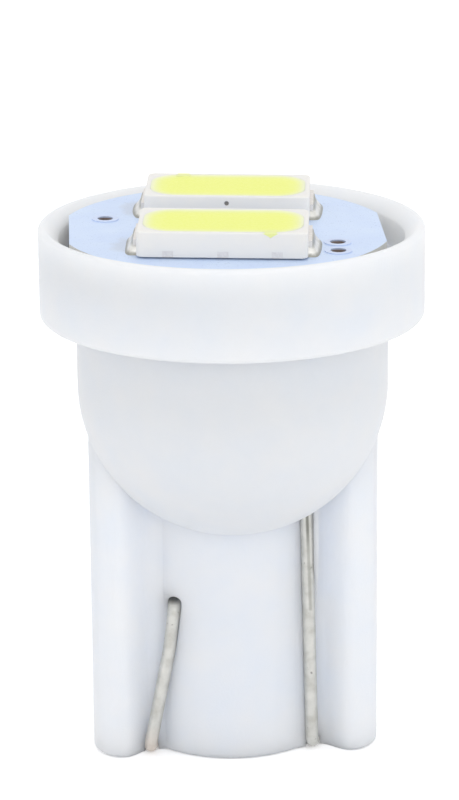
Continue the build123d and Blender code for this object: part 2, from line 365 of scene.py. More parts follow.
def soften(shader, weight, radius, scale):
    # Light that wanders under the surface, with its reach in millimetres.
    shader.inputs["Subsurface Weight"].default_value = weight
    shader.inputs["Subsurface Radius"].default_value = radius
    shader.inputs["Subsurface Scale"].default_value = scale * mm


def addGrain(tree, shader, place, scale, detail, roughness, depth):
    # Fine grain: the roughness wanders between two values with it, and it stands a little proud.
    grain = noise(tree, place, scale, detail)
    tree.links.new(stretch(tree, grain, 0.3, 0.7, *roughness), shader.inputs["Roughness"])
    bump(tree, shader, grain, depth)


# Materials

plasticLook = {
    "colour": (0.80, 0.83, 0.88),
    "cooler": (0.78, 0.816, 0.88),
    "warmer": (0.82, 0.836, 0.868),
    "clouds": 0.55,
    "softness": (0.9, (1.0, 0.97, 0.94), 1.6),
    "grain": (14.0, 4.0, (0.42, 0.56), 0.006),
}


def makePlastic():
    # White moulded plastic that light enters a little way, faintly cloudy.
    look = plasticLook
    material, tree, shader = newMaterial("whitePlastic", look["colour"], 0.48, IOR=1.48)
    soften(shader, *look["softness"])
    place = objectPlace(tree)
    clouds = noise(tree, place, look["clouds"], 2.0)
    tint = ramp(tree, clouds, ((0.3, look["cooler"]), (0.7, look["warmer"])))
    tree.links.new(tint, shader.inputs["Base Color"])
    addGrain(tree, shader, place, *look["grain"])
    return material


boardLook = {
    "colour": (0.59, 0.715, 0.955),
    "pale": (0.625, 0.75, 0.965),
    "clouds": 0.9,
    # painted shade beside the two left solder joints
    "jointShade": (0.52, 0.57, 0.68),
    "jointShadePlace": (-3.1, 2.24),       # along the LEDs, and to either side
    "jointShadeNarrow": 1.6,
    "jointShadeWander": (2.4, 0.9),
    "jointShadeFade": (1.1, 1.55, 0.5),    # full within the first, gone past the second, and its strength
    "laminate": (0.70, 0.69, 0.64),
    "grain": (18.0, 3.0, (0.26, 0.4), 0.004),
}


def makeBoardMask():
    # Pale blue solder mask, with painted shade beside the two solder joints on the left.
    look = boardLook
    material, tree, shader = newMaterial("boardMask", look["colour"], 0.32, IOR=1.5)
    place = objectPlace(tree)
    clouds = noise(tree, place, look["clouds"], 2.0)
    mask = ramp(tree, clouds, ((0.35, look["colour"]), (0.7, look["pale"])))
    # Painted shade beside the joints, by distance from the nearer joint along the board's own directions,
    # sqrt(x * x + y * y), made ragged
    split = separate(tree, objectPlace(tree, turn=(0, 0, radians(-board["turn"]))))
    atX, atY = look["jointShadePlace"]
    offX = calculate(tree, "MULTIPLY", calculate(tree, "SUBTRACT", split["X"], atX), look["jointShadeNarrow"])
    offY = calculate(tree, "SUBTRACT", calculate(tree, "ABSOLUTE", split["Y"]), atY)
    squares = [calculate(tree, "MULTIPLY", off, off) for off in (offX, offY)]
    distance = calculate(tree, "SQRT", calculate(tree, "ADD", *squares))
    scale, reach = look["jointShadeWander"]
    wander = calculate(tree, "MULTIPLY", noise(tree, place, scale, 3.0), reach)
    full, gone, strength = look["jointShadeFade"]
    jointShade = stretch(tree, calculate(tree, "ADD", distance, wander), full, gone, strength, 0.0)
    masked = mixColour(tree, jointShade, mask, look["jointShade"])
    # The mask ends at the milled side, where the bare laminate shows
    facing = add(tree, "ShaderNodeTexCoord")
    upright = calculate(tree, "ABSOLUTE", separate(tree, facing.outputs["Normal"])["Z"])
    milled = stretch(tree, upright, 0.4, 0.6, 1.0, 0.0)
    tree.links.new(mixColour(tree, milled, masked, look["laminate"]), shader.inputs["Base Color"])
    addGrain(tree, shader, place, *look["grain"])
    return material


ledWhiteLook = {
    "colour": (0.86, 0.865, 0.86),
    "greyer": (0.845, 0.835, 0.815),
    "paler": (0.875, 0.855, 0.815),
    "clouds": 1.3,
    # painted shade on the floor of the gate mark
    "gateMark": (0.42, 0.41, 0.40),
    "softness": (0.1, (1.0, 0.95, 0.85), 0.3),
    "grain": (30.0, 4.0, (0.42, 0.6), 0.003),
}


def makeLedWhite():
    # White package plastic, with painted shade on the floor of the gate mark.
    look = ledWhiteLook
    material, tree, shader = newMaterial("ledWhite", look["colour"], 0.5, IOR=1.5)
    soften(shader, *look["softness"])
    place = objectPlace(tree)
    clouds = noise(tree, place, look["clouds"], 3.0)
    base = ramp(tree, clouds, ((0.3, look["greyer"]), (0.7, look["paler"])))
    # the gate mark's floor gets painted shade
    mark = add(tree, "ShaderNodeAttribute", attribute_name="gateMark")
    tree.links.new(mixColour(tree, mark.outputs["Fac"], base, look["gateMark"]), shader.inputs["Base Color"])
    addGrain(tree, shader, place, *look["grain"])
    return material


phosphorLook = {
    "middle": (0.90, 0.955, 0.235),
    "flecks": (0.87, 0.935, 0.19),
    "rim": (0.91, 0.94, 0.66),
    "fleckScale": 9.0,
    "softness": (0.15, (1.0, 1.0, 0.5), 0.2),
    "grain": (45.0, 3.0, (0.36, 0.5), 0.006),
}


def makePhosphor():
    # Yellow silicone with fine flecks, paler where it thins out along the window's edge.
    look = phosphorLook
    material, tree, shader = newMaterial("phosphorSilicone", look["middle"], 0.42, IOR=1.42)
    soften(shader, *look["softness"])
    place = objectPlace(tree)
    flecks = noise(tree, place, look["fleckScale"], 5.0, 0.65)
    base = ramp(tree, flecks, ((0.35, look["flecks"]), (0.6, look["middle"])))
    rim = add(tree, "ShaderNodeAttribute", attribute_name="rim")
    tree.links.new(mixColour(tree, rim.outputs["Fac"], base, look["rim"]), shader.inputs["Base Color"])
    addGrain(tree, shader, place, *look["grain"])
    return material


metalLooks = {  # bright, dull, roughness, scale of the patches, depth of the bumps, metallic
    "platedMetal": ((0.70, 0.68, 0.64), (0.52, 0.50, 0.47), (0.28, 0.45), 6.0, 0.004, 1.0),
    "framePlating": ((0.84, 0.81, 0.78), (0.74, 0.71, 0.68), (0.35, 0.5), 6.0, 0.004, 0.3),
    "solderMetal": ((0.70, 0.69, 0.66), (0.46, 0.45, 0.43), (0.28, 0.45), 2.6, 0.015, 0.85),
    "chipCrystal": ((0.55, 0.62, 0.75), (0.45, 0.52, 0.66), (0.2, 0.3), 8.0, 0.002, 1.0),
}


def makeMetal(name, bright, dull, roughness, scale, depth, metallic):
    # Plated or soldered metal: brightness and gloss wander together over the surface.
    material, tree, shader = newMaterial(name, bright, roughness[0], metallic=metallic)
    place = objectPlace(tree)
    patches = noise(tree, place, scale, 4.0, 0.6)
    tree.links.new(ramp(tree, patches, ((0.35, dull), (0.62, bright))), shader.inputs["Base Color"])
    tree.links.new(stretch(tree, patches, 0.3, 0.7, roughness[1], roughness[0]), shader.inputs["Roughness"])
    bump(tree, shader, noise(tree, place, scale * 6, 3.0), depth)
    return material


def aboveBoard(tree, place):
    # Height over the sloping top of the board: normal . place - normal . middle of the board
    normal = enginePlace.to_3x3().col[2]
    height = add(tree, "ShaderNodeVectorMath", operation="DOT_PRODUCT")
    tree.links.new(place, height.inputs[0])
    height.inputs[1].default_value = normal
    return calculate(tree, "SUBTRACT", height.outputs["Value"], normal.dot(enginePlace.translation))


jointLook = {
    "colour": (0.78, 0.77, 0.73),
    "softer": (0.68, 0.67, 0.63),
    "bright": (0.84, 0.83, 0.80),
    # painted shade colour, laid on at the foot on the board and at the crest up the wall
    "dull": (0.33, 0.33, 0.30),
    "patches": 2.6,
    "wander": (5.0, 0.1),
    "foot": (0.09, 0.17, 1.0, 0.0),     # heights above the board, and how dull it is at each
    "crest": (0.27, 0.36, 0.0, 0.8),
    "roughness": (0.45, 0.28),
    "lumps": (15.0, 0.015),
}


def makeJointSolder():
    # Solder of the LED joints: painted shade greys it where it runs out on the board and up the wall, and
    # the bright belly between stands in for a painted highlight.
    look = jointLook
    material, tree, shader = newMaterial("jointSolder", look["colour"], 0.3, metallic=0.8)
    place = objectPlace(tree)
    patches = noise(tree, place, look["patches"], 4.0, 0.6)
    bright = ramp(tree, patches, ((0.35, look["softer"]), (0.62, look["bright"])))
    scale, reach = look["wander"]
    wander = calculate(tree, "MULTIPLY", noise(tree, place, scale), reach)
    height = calculate(tree, "ADD", aboveBoard(tree, place), wander)
    foot = stretch(tree, height, *look["foot"])
    crest = stretch(tree, height, *look["crest"])
    # painted shade at the foot and up the wall
    dull = calculate(tree, "MAXIMUM", foot, crest)
    tree.links.new(mixColour(tree, dull, bright, look["dull"]), shader.inputs["Base Color"])
    tree.links.new(stretch(tree, patches, 0.3, 0.7, *look["roughness"]), shader.inputs["Roughness"])
    scale, depth = look["lumps"]
    bump(tree, shader, noise(tree, place, scale, 3.0), depth)
    return material


holeLook = {
    "colour": (0.7, 0.68, 0.72),
    "sleeve": (0.34, 0.27, 0.24),
    "pad": (0.60, 0.69, 0.90),
    "padPale": (0.63, 0.73, 0.94),
    "patches": 7.0,
    "roughness": (0.32, 0.5),
}


def makeHolePlating():
    # Dull sleeve, and pads that show only faintly through a skin of mask.
    look = holeLook
    material, tree, shader = newMaterial("holePlating", look["colour"], 0.4, metallic=0.3)
    place = objectPlace(tree)
    # A pad is all that stands above the sloping top of the board
    onPad = stretch(tree, aboveBoard(tree, place), -0.03, -0.01, 0.0, 1.0)
    patches = noise(tree, place, look["patches"], 3.0)
    pad = ramp(tree, patches, ((0.35, look["pad"]), (0.65, look["padPale"])))
    tree.links.new(mixColour(tree, onPad, look["sleeve"], pad), shader.inputs["Base Color"])
    tree.links.new(stretch(tree, patches, 0.3, 0.7, *look["roughness"]), shader.inputs["Roughness"])
    return material


wireLook = {
    "tin": (0.60, 0.60, 0.57),
    "dull": (0.50, 0.495, 0.46),
    "bright": (0.68, 0.675, 0.64),
    "patches": 2.2,
    "roughness": (0.48, 0.3),
    "nick": (0.25, 0.24, 0.23),
    "nicks": 5.5,
    "copper": (0.66, 0.54, 0.46),
    "copperFade": (0.2, 1.1, 0.55, 0.0),    # heights, and how much shows at each
    # painted shade on the two tips inside their holes
    "shade": (0.10, 0.10, 0.10),
    "shadeFade": (5.2, 5.32, 0.0, 0.85),
    # a dark line painted down the right wire, darker towards the top
    "groove": (0.19, 0.19, 0.17),
    "linePlace": (2.585, -0.034, 0.07),          # place at height 0, lean, half width
    "lineFade": (4.93, 7.0, 7.7),           # heights where it begins, deepens and is darkest
    "drawnLines": (14000, 14000, 700),      # scale in metres, long along the wire
}


def makeWireMetal():
    # Tinned wire with drawn lines along it, dull patches, a few dark nicks, painted shade on the two tips
    # inside their holes and a dark line painted down the right wire.
    look = wireLook
    material, tree, shader = newMaterial("tinnedWire", look["tin"], 0.45, metallic=0.5)
    place = objectPlace(tree)
    patches = noise(tree, place, look["patches"], 3.0)
    base = ramp(tree, patches, ((0.3, look["dull"]), (0.5, look["tin"]), (0.75, look["bright"])))
    dark = stretch(tree, noise(tree, place, look["nicks"], 2.0), 0.7, 0.78, 0.0, 0.8)
    nicked = mixColour(tree, dark, base, look["nick"])
    # The bare copper shows a little through the tin at the left foot
    split = separate(tree, place)
    x, z = split["X"], split["Z"]
    onLeft = stretch(tree, x, -1.0, 0.0, 1.0, 0.0)
    worn = calculate(tree, "MULTIPLY", stretch(tree, z, *look["copperFade"]), onLeft)
    tinned = mixColour(tree, worn, nicked, look["copper"])
    # Painted shade: the two tips, where x and y have the same sign, are darkened inside their holes
    sameSide = stretch(tree, calculate(tree, "MULTIPLY", x, split["Y"]), 0.3, 0.6, 0.0, 1.0)
    tipShade = calculate(tree, "MULTIPLY", stretch(tree, z, *look["shadeFade"]), sameSide)
    tinned = mixColour(tree, tipShade, tinned, look["shade"])
    # A dark line is painted down the right wire, darker towards the top: x = linePlace + lean * z
    linePlace, lean, halfWide = look["linePlace"]
    low, deeper, darkest = look["lineFade"]
    middle = calculate(tree, "ADD", calculate(tree, "MULTIPLY", z, lean), linePlace)
    aside = calculate(tree, "ABSOLUTE", calculate(tree, "SUBTRACT", x, middle))
    near = stretch(tree, aside, halfWide * 0.4, halfWide, 1.0, 0.0)
    above = stretch(tree, z, low - 0.04, low + 0.04, 0.0, 1.0)
    depth = stretch(tree, z, deeper, darkest, 0.45, 0.95)
    darkLine = calculate(tree, "MULTIPLY", calculate(tree, "MULTIPLY", near, above), depth)
    tree.links.new(mixColour(tree, darkLine, tinned, look["groove"]), shader.inputs["Base Color"])
    tree.links.new(stretch(tree, patches, 0.3, 0.7, *look["roughness"]), shader.inputs["Roughness"])
    lines = noise(tree, objectPlace(tree, scale=look["drawnLines"]), 1.0, 3.0)
    bump(tree, shader, lines, 0.004)
    return material


ceramicLook = {
    "colour": (0.06, 0.06, 0.065),
    "darker": (0.05, 0.05, 0.055),
    "paler": (0.08, 0.08, 0.085),
    "clouds": 6.0,
}


def makeCeramic():
    # Black glazed body of the resistor.
    look = ceramicLook
    material, tree, shader = newMaterial("ceramicBlack", look["colour"], 0.3)
    clouds = noise(tree, objectPlace(tree), look["clouds"], 3.0)
    tint = ramp(tree, clouds, ((0.35, look["darker"]), (0.7, look["paler"])))
    tree.links.new(tint, shader.inputs["Base Color"])
    bump(tree, shader, clouds, 0.004)
    return material


plastic = makePlastic()
boardMask = makeBoardMask()
ledWhite = makeLedWhite()
phosphor = makePhosphor()
metals = {name: makeMetal(name, *look) for name, look in metalLooks.items()}
wireMetal = makeWireMetal()
ceramic = makeCeramic()
holePlating = makeHolePlating()
jointSolder = makeJointSolder()
print("materials made")


# Routes of the two contact wires

def wireCorners(side, hole):
    # Corners of one contact wire, from the board hole to the tucked-in tip.
    top = enginePlace @ Vector((*hole, 0))
    jogTop = top.z - board["thickness"] - wire["cupDrop"]
    low = wire["footGap"] + wire["diameter"] / 2
    legs = [
        (wire["frontTop"], -wire["y"], jogTop - wire["cupJog"]),
        (wire["frontFoot"], -wire["y"], low),
        (wire["backFoot"], wire["y"], low),
        (wire["knee"][0], wire["y"], wire["knee"][1]),
        (wire["tip"][0], wire["y"], wire["tip"][1]),
        (wire["tip"][0], wire["y"] - wire["tipLength"], wire["tip"][1]),
    ]
    inCup = [(top.x, top.y, top.z - wire["endSink"]), (top.x, top.y, jogTop)]
    return np.array(inCup + [(side * x, side * y, z) for x, y, z in legs])


wireRoutes = {"right": wireCorners(1, board["rightHole"]), "left": wireCorners(-1, board["leftHole"])}


# Housing: a turned cup and a fluted wedge, joined and then cut for the wires

housing = {
    "domeCentre": 12.53,
    "neckRadius": 5.0,
    "collarHeight": 2.95,
    "collarRounding": 0.17,
    "neckRounding": 0.08,
    "cavityRadius": 4.3,
    "cavityFloor": 3.04,    # below the dome's centre, and as wide
    "recessRadius": 5.51,
    "counterboreRadius": 4.714,
    "counterboreDepth": 1.2,
    "lipWidth": 0.42,
    "lipHeight": 0.4,
    "lipRounding": 0.12,
    "ledgeRounding": 0.05,
    "cavityRounding": 0.5,
    "plugRadius": 4.65,     # ball that clears the wedge out of the cup
}

wedge = {
    "halfWidth": 4.7,
    "webHalf": 0.58,
    "barrelHalf": 1.6,
    "barrelRadius": 3.2,
    "ribHalf": 1.2,
    "ribPeak": 3.8,         # the edge rib is thickest here
    "ribFlank": 0.95,       # it falls to the web over this width
    "land": (1.5, 2.3, 1.13, 0.4),    # from, to, depth, slope
    "sink": (1.45, 0.2, 0.015),       # place, width, depth
    "grooveRounding": 0.07,
    "footRounding": 0.2,
    "footFull": 0.5,
    "slit": (2.15, 2.54, 5.2),  # from, to, height of its lower end
    "guideRib": (2.53, 2.68, 1.0, 4.6, 6.4),  # from, to, depth, heights where it begins and is full
    "ribRoot": (0.1, 0.02),     # how near its root is to the middle, and how deep its toe is in the web
    "ribTop": 0.2,              # it ends this far below the dome's centre
    "outlineStep": 0.035,
    "slotDepth": 2.0,
    "slitDepth": 3.0,
}


def domeArc(radius, sweep, steps=64):
    # Arc about the dome's centre, (r sin a, centre - r cos a), swept up from its lowest point.
    angle = np.linspace(0, sweep, steps + 1)[:, None]
    return np.concatenate([radius * np.sin(angle), housing["domeCentre"] - radius * np.cos(angle)], axis=1)


def cupProfile():
    # Half section of the cup, (radius, height): dome, neck and collar outside, then down the inside.
    h = housing
    collarBottom = collarTop - h["collarHeight"]
    ledge = collarTop - board["ledgeDepth"]
    counterbore = ledge - h["counterboreDepth"]
    corners = [
        (h["neckRadius"], h["domeCentre"]),
        (h["neckRadius"], collarBottom),
        (collarRadius, collarBottom),
        (collarRadius, collarTop),
        (h["recessRadius"] + h["lipWidth"], collarTop),
        (h["recessRadius"], collarTop - h["lipHeight"]),
        (h["recessRadius"], ledge),
        (h["counterboreRadius"], ledge),
        (h["counterboreRadius"], counterbore),
        (h["cavityRadius"], counterbore - h["counterboreRadius"] + h["cavityRadius"]),
        (h["cavityRadius"], h["domeCentre"]),
        (h["cavityFloor"], h["domeCentre"] - h["cavityFloor"]),
        (0, h["domeCentre"] - h["cavityFloor"]),
    ]
    edge, lip = h["collarRounding"], h["lipRounding"]
    ledgeEdge, cavityEdge = h["ledgeRounding"], h["cavityRounding"]
    radii = (h["neckRounding"], edge, edge, lip, lip, ledgeEdge, ledgeEdge, 0, 0, cavityEdge, cavityEdge)
    return np.concatenate([domeArc(h["neckRadius"], pi / 2)[:-1], roundedPath(corners, radii)])


def wedgeHeights(x):
    # Half thickness of the wedge's front face across its width: the highest of web, edge ribs,
    # barrel and land at each x. A rib is a quarter ellipse outwards of its peak, and half a
    # cosine wave down to the web inwards of it. A faint sink mark runs down each side of the barrel.
    w = wedge
    off = np.abs(x)
    outside = np.clip((off - w["ribPeak"]) / (w["halfWidth"] - w["ribPeak"]), 0, 1)
    inside = np.clip((w["ribPeak"] - off) / w["ribFlank"], 0, 1)
    rise = w["ribHalf"] - w["webHalf"]
    rib = np.where(off > w["ribPeak"], w["ribHalf"] * np.sqrt(1 - outside ** 2),
                   w["webHalf"] + rise * (1 + np.cos(pi * inside)) / 2)
    barrel = np.sqrt(np.maximum(w["barrelRadius"] ** 2 - x ** 2, 0)) - w["barrelRadius"] + w["barrelHalf"]
    heights = np.where(off < w["barrelRadius"], np.maximum(rib, barrel), rib)
    start, end, depth, slope = w["land"]
    land = depth - slope * (x - start)
    heights = np.where((x >= start) & (x <= end), np.maximum(heights, land), heights)
    place, width, drop = w["sink"]
    return heights - drop * np.exp(-((off - place) / width) ** 2)


def rollBall(x, heights, radius):
    # Fills the inner corners as a ball rolled over the surface leaves them: the heights are first
    # raised by the ball, the largest of h + sqrt(r^2 - d^2), and then lowered by it again.
    apart = x[:, None] - x[None]
    cap = np.sqrt(np.maximum(radius ** 2 - apart ** 2, 0))
    near = np.abs(apart) <= radius
    raised = np.max(np.where(near, heights[None] + cap, -1e3), axis=1)
    return np.min(np.where(near, raised[None] - cap, 1e3), axis=1)


def wedgeOutline():
    # Closed outline in equal steps: the front heights, and the same after half a turn.
    w = wedge
    wide = np.linspace(-w["halfWidth"], w["halfWidth"], 2401)
    heights = rollBall(wide, wedgeHeights(wide), w["grooveRounding"])
    across = w["halfWidth"] * np.sin(np.linspace(-pi / 2, pi / 2, 1601))
    inner = np.abs(across) < w["ribPeak"]
    front = np.where(inner, np.interp(across, wide, heights), wedgeHeights(across))
    points = np.stack([across, -front], axis=1)
    points = np.concatenate([points, -points[1:-1]])
    points = np.concatenate([points, points[:1]])
    length = np.concatenate([[0], np.cumsum(np.linalg.norm(np.diff(points, axis=0), axis=1))])
    even = np.linspace(0, length[-1], int(length[-1] / w["outlineStep"]), endpoint=False)
    return np.stack([np.interp(even, length, points[:, axis]) for axis in (0, 1)], axis=1)


def wedgeRings(top):
    # The outline carried upwards. Near the foot it is drawn in by a quarter circle: narrower by the
    # inset over the whole width, and lower by the inset wherever it is thicker than footFull.
    outline = wedgeOutline()
    across, front = outline[:, 0], outline[:, 1]
    rings = []
    for angle in np.linspace(0, pi / 2, 7):
        inset = wedge["footRounding"] * (1 - sin(angle))
        lower = front - np.sign(front) * inset * np.minimum(1, np.abs(front) / wedge["footFull"])
        flat = np.stack([across * (1 - inset / wedge["halfWidth"]), lower], axis=1)
        rings.append(np.insert(flat, 2, wedge["footRounding"] * (1 - cos(angle)), axis=1))
    rings.append(np.insert(outline, 2, top, axis=1))
    return rings


def stadium(length, width, steps=14):
    # Round-ended slot outline, its long axis along x.
    angle = np.linspace(-pi / 2, pi / 2, steps + 1)
    end = np.stack([length / 2 + width / 2 * np.cos(angle), width / 2 * np.sin(angle)], axis=1)
    return np.concatenate([end, -end])


def openSlot(start, end, width):
    # Slot along one leg of a wire, from the wire's middle to the outside.
    run = end - start
    middle = (start + end) / 2
    outward = np.array([0, np.sign(middle[1]), 0])
    length = np.linalg.norm(run)
    return prism(stadium(length, width), middle, run / length, np.cross(outward, run / length),
                 outward * wedge["slotDepth"])


def openFoot(start, end, width):
    # Slot across the foot, up to the wire's middle, in which a wire passes under the web.
    run = end - start
    length = np.linalg.norm(run)
    along = run / length
    across = np.array([-along[1], along[0], 0])
    outline = np.array([[-1, -1], [1, -1], [1, 1], [-1, 1]]) * (length / 2 + wire["diameter"] / 2, width / 2)
    below = wire["footBelow"]
    return prism(outline, (start + end) / 2 - (0, 0, below), along, across,
                 (0, 0, below + wire["footGap"] + wire["diameter"] / 2))


def tipHole(tip, width):
    # Hole for the tip of a wire, open a little way above it.
    side = np.sign(tip[1])
    low, high = wire["tip"][1], wire["holeTop"] - width / 2
    mouth = tip * (1, 1, 0) + (0, side * wire["mouthAhead"], (low + high) / 2)
    deep = (0, -side * (wire["tipLength"] + wire["holeSpare"]), 0)
    return prism(stadium(high - low, width), mouth, (0, 0, 1), (1, 0, 0), deep)


def wireTools():
    # Everything that the housing leaves free for the wires.
    width = wire["diameter"] + 2 * wire["clearance"]
    tools = []
    for corners in wireRoutes.values():
        frontFoot, backFoot, knee, tip = corners[3:7]
        tools.append(solid("run", tube(roundedPath(corners, wire["bends"]), width / 2, 24)))
        tools.append(solid("slot", openSlot(backFoot, knee, width)))
        tools.append(solid("slot", openSlot(knee, tip, width)))
        tools.append(solid("foot", openFoot(frontFoot * (1, 1, 0), backFoot * (1, 1, 0), width)))
        tools.append(solid("tip", tipHole(tip, width)))
    return tools


def makeHousing():
    # The wedge is slit and ribbed, cleared out of the cup and joined to it, and then cut for the wires.
    w = wedge
    top = housing["domeCentre"]
    base = solid("housing", shellMesh(wedgeRings(top)))
    start, end, depth, begins, full = w["guideRib"]
    root, toe = w["ribRoot"]
    ribTop = top - w["ribTop"]
    slope = np.array([[-root, begins], [toe - w["webHalf"], begins], [-depth, full], [-depth, ribTop],
                      [-root, ribTop]])
    left, right, low = w["slit"]
    ribs, slits = [], []
    for turn in (Matrix.Identity(4), turnHalf):
        rib = prism(slope, (start, 0, 0), (0, 1, 0), (0, 0, 1), (end - start, 0, 0))
        ribs.append(solid("rib", rib, turn))
        slit = boxMesh((left, -w["slitDepth"], low), (right, -w["webHalf"], top + 1))
        slits.append(solid("slit", slit, turn))
    combine(base, slits, "DIFFERENCE")
    combine(base, ribs, "UNION")
    plug = revolved(domeArc(housing["plugRadius"], pi), 96)
    combine(base, [solid("plug", plug)], "DIFFERENCE")
    combine(base, [solid("cup", revolved(cupProfile()))], "UNION")
    return combine(base, wireTools(), "DIFFERENCE")


body = makeHousing()
settle(body, "wedgeHousing", plastic, ["wedge_housing"])
print("housing:", len(body.data.polygons), "faces")


# Contact wires

for name, corners in wireRoutes.items():
    path = roundedPath(corners, wire["bends"], 12)
    piece = solid(name + "Wire", tube(path, wire["diameter"] / 2, 32, wire["endRound"]))
    settle(piece, name + "ContactWire", wireMetal, [name + "_contact_wire"], 60)
print("wires made")


# LED packages

led = {
    "pitch": 4.48,
    "length": 5.3,
    "depth": 3.0,
    "lean": 0.03,                 # the walls stand out by this at the foot
    "height": 0.8,
    "standoff": 0.05,
    "corner": 0.22,
    "edge": 0.05,
    "footEase": 0.02,
    "window": (5.0, 2.72, 0.95),  # length, depth, corner
    "windowStep": (0.03, 0.01),   # width and depth of the eased edge round it
    "windowSlope": 0.35,
    "frameThickness": 0.2,
    "frameDepth": 1.9,
    "frameSink": 0.01,
    "frameGap": (0.70, 1.0),
    "tieBars": (-1.67, 0.03, 1.7),
    "tieBarWidth": 0.34,
    "tabThickness": 0.12,
    "notch": (1.49, 0.52, 0.16),  # place, width, depth
    "notchRoot": (1.1, 0.05),     # its cutter begins this far from the middle, and stands this much proud
    "cutReach": 2.0,              # cutters of the front wall end this far from the middle
    "fillGap": (0.006, 0.008),    # beside the window's wall, and below its edge
    "fillSink": 0.02,
    "meniscus": 0.09,
    "rimFade": (0.2, 1.4),
    "drop": (0.002, 0.06, 0.35),  # past the front wall, drawn in by this share, tone of its rim
    "gateMark": (0.15, 0.62, 0.12, 0.3),  # diameter, height above the board, depth, length of its cutter
}

ledTop = led["standoff"] + led["height"]
ledFloor = led["standoff"] + led["frameThickness"]
windowX, windowY, windowCorner = led["window"][0] / 2, led["window"][1] / 2, led["window"][2]


def ledBodyRings():
    # Outer wall, eased top edge, flat rim, and the window's walls closing in down to its floor.
    halfX, halfY, corner = led["length"] / 2, led["depth"] / 2, led["corner"]
    edge, ease, low = led["edge"], led["footEase"], led["standoff"]
    rings = [ringAt(halfX - ease, halfY + led["lean"] - ease, corner, low)]
    rings.append(ringAt(halfX, halfY + led["lean"], corner, low + ease))
    for angle in np.linspace(0, pi / 2, 6):
        inset = edge * (1 - cos(angle))
        rings.append(ringAt(halfX - inset, halfY - inset, corner - inset, ledTop - edge + edge * sin(angle)))
    wide, deep = led["windowStep"]
    rings.append(ringAt(windowX + wide, windowY + wide, windowCorner, ledTop))
    rings.append(ringAt(windowX, windowY, windowCorner, ledTop - deep))
    slope = led["windowSlope"]
    rings.append(ringAt(windowX - slope, windowY - slope, windowCorner - slope, ledFloor))
    return rings


def frameBoxes():
    # The two lead-frame plates under the package, and their tie bars through its front wall.
    reach, half = led["length"] / 2 + led["tabThickness"], led["frameDepth"] / 2
    low, high = led["standoff"] - led["frameSink"], ledFloor
    bar = led["tieBarWidth"] / 2
    boxes = [
        ((-reach, -half, low), (led["frameGap"][0], half, high)),
        ((led["frameGap"][1], -half, low), (reach, half, high)),
    ]
    return boxes + [((at - bar, -led["cutReach"], low), (at + bar, 0, high)) for at in led["tieBars"]]


def phosphorShape():
    # Silicone fill: up the window's walls, over a small meniscus, sink * (1 - exp(-inset / width)),
    # and a nearly flat top.
    slope = led["windowSlope"]
    beside, below = led["fillGap"]
    top = ledTop - below
    rings = [ringAt(windowX - slope, windowY - slope, windowCorner - slope, ledFloor)]
    rings.append(ringAt(windowX - beside, windowY - beside, windowCorner, top))
    for share in (0.985, 0.96, 0.93, 0.89, 0.84, 0.78, 0.7, 0.55, 0.35, 0.15, 0.0):
        inset = (1 - share) * windowY
        halfX, halfY = windowX - inset, windowY - inset
        ring = ringAt(halfX, halfY, max(windowCorner - inset, 0.0) * 0.98 + 0.02 * halfY, top)
        if share == 0:
            ring = ring * (1, 0, 1)
        ring[:, 2] -= led["fillSink"] * (1 - np.exp(-inset / led["meniscus"]))
        rings.append(ring)
    return shellMesh(rings, capEnd=False)


def notchTool(front, inset=0.0):
    # Three-sided bar of the polarity notch, from inside the window out through the front wall.
    at, width, depth = led["notch"]
    root, proud = led["notchRoot"]
    outline = np.array([[-width / 2, proud], [0, -depth], [width / 2, proud]]) * (1 - inset)
    return prism(outline, (at, -root, ledTop), (1, 0, 0), (0, 0, 1), (0, front + root, 0))


def makeLedBody(name, place):
    # White package, cut for the lead frame, the notch and the gate mark, whose floor is marked 1 for its
    # painted shade.
    package = solid("ledBody", shellMesh(ledBodyRings()))
    tools = [solid("bar", boxMesh(low, high)) for low, high in frameBoxes()]
    tools.append(solid("notch", notchTool(-led["cutReach"])))
    size, height, deep, reach = led["gateMark"]
    angle = np.linspace(0, 2 * pi, 24, endpoint=False)
    mark = size / 2 * np.stack([np.cos(angle), np.sin(angle)], axis=1)
    floorY = (led["depth"] + led["lean"]) / 2 - deep
    tools.append(solid("mark", prism(mark, (0, floorY, height), (1, 0, 0), (0, 0, 1), (0, reach, 0))))
    combine(package, tools, "DIFFERENCE")
    points = pointsOf(package)
    near = np.hypot(points[:, 0], points[:, 2] - height) < 0.55 * size
    setMark(package, "gateMark", near & (np.abs(points[:, 1] - floorY) < 0.01))
    package.data.transform(place)
    settle(package, name + "LedBody", ledWhite, [name + "_led_body"])


def rimDistance(points):
    # How near each point is to the window's edge: 1 on it, and exp(-(inset / width) ** power) inwards.
    offX = np.maximum(np.abs(points[:, 0]) - windowX + windowCorner, 0)
    offY = np.maximum(np.abs(points[:, 1]) - windowY + windowCorner, 0)
    inside = np.minimum(windowX - np.abs(points[:, 0]), windowY - np.abs(points[:, 1]))
    atCorner = windowCorner - np.hypot(offX, offY)
    inset = np.where((offX > 0) & (offY > 0), atCorner, inside)
    width, power = led["rimFade"]
    return np.exp(-((np.maximum(inset, 0) / width) ** power))


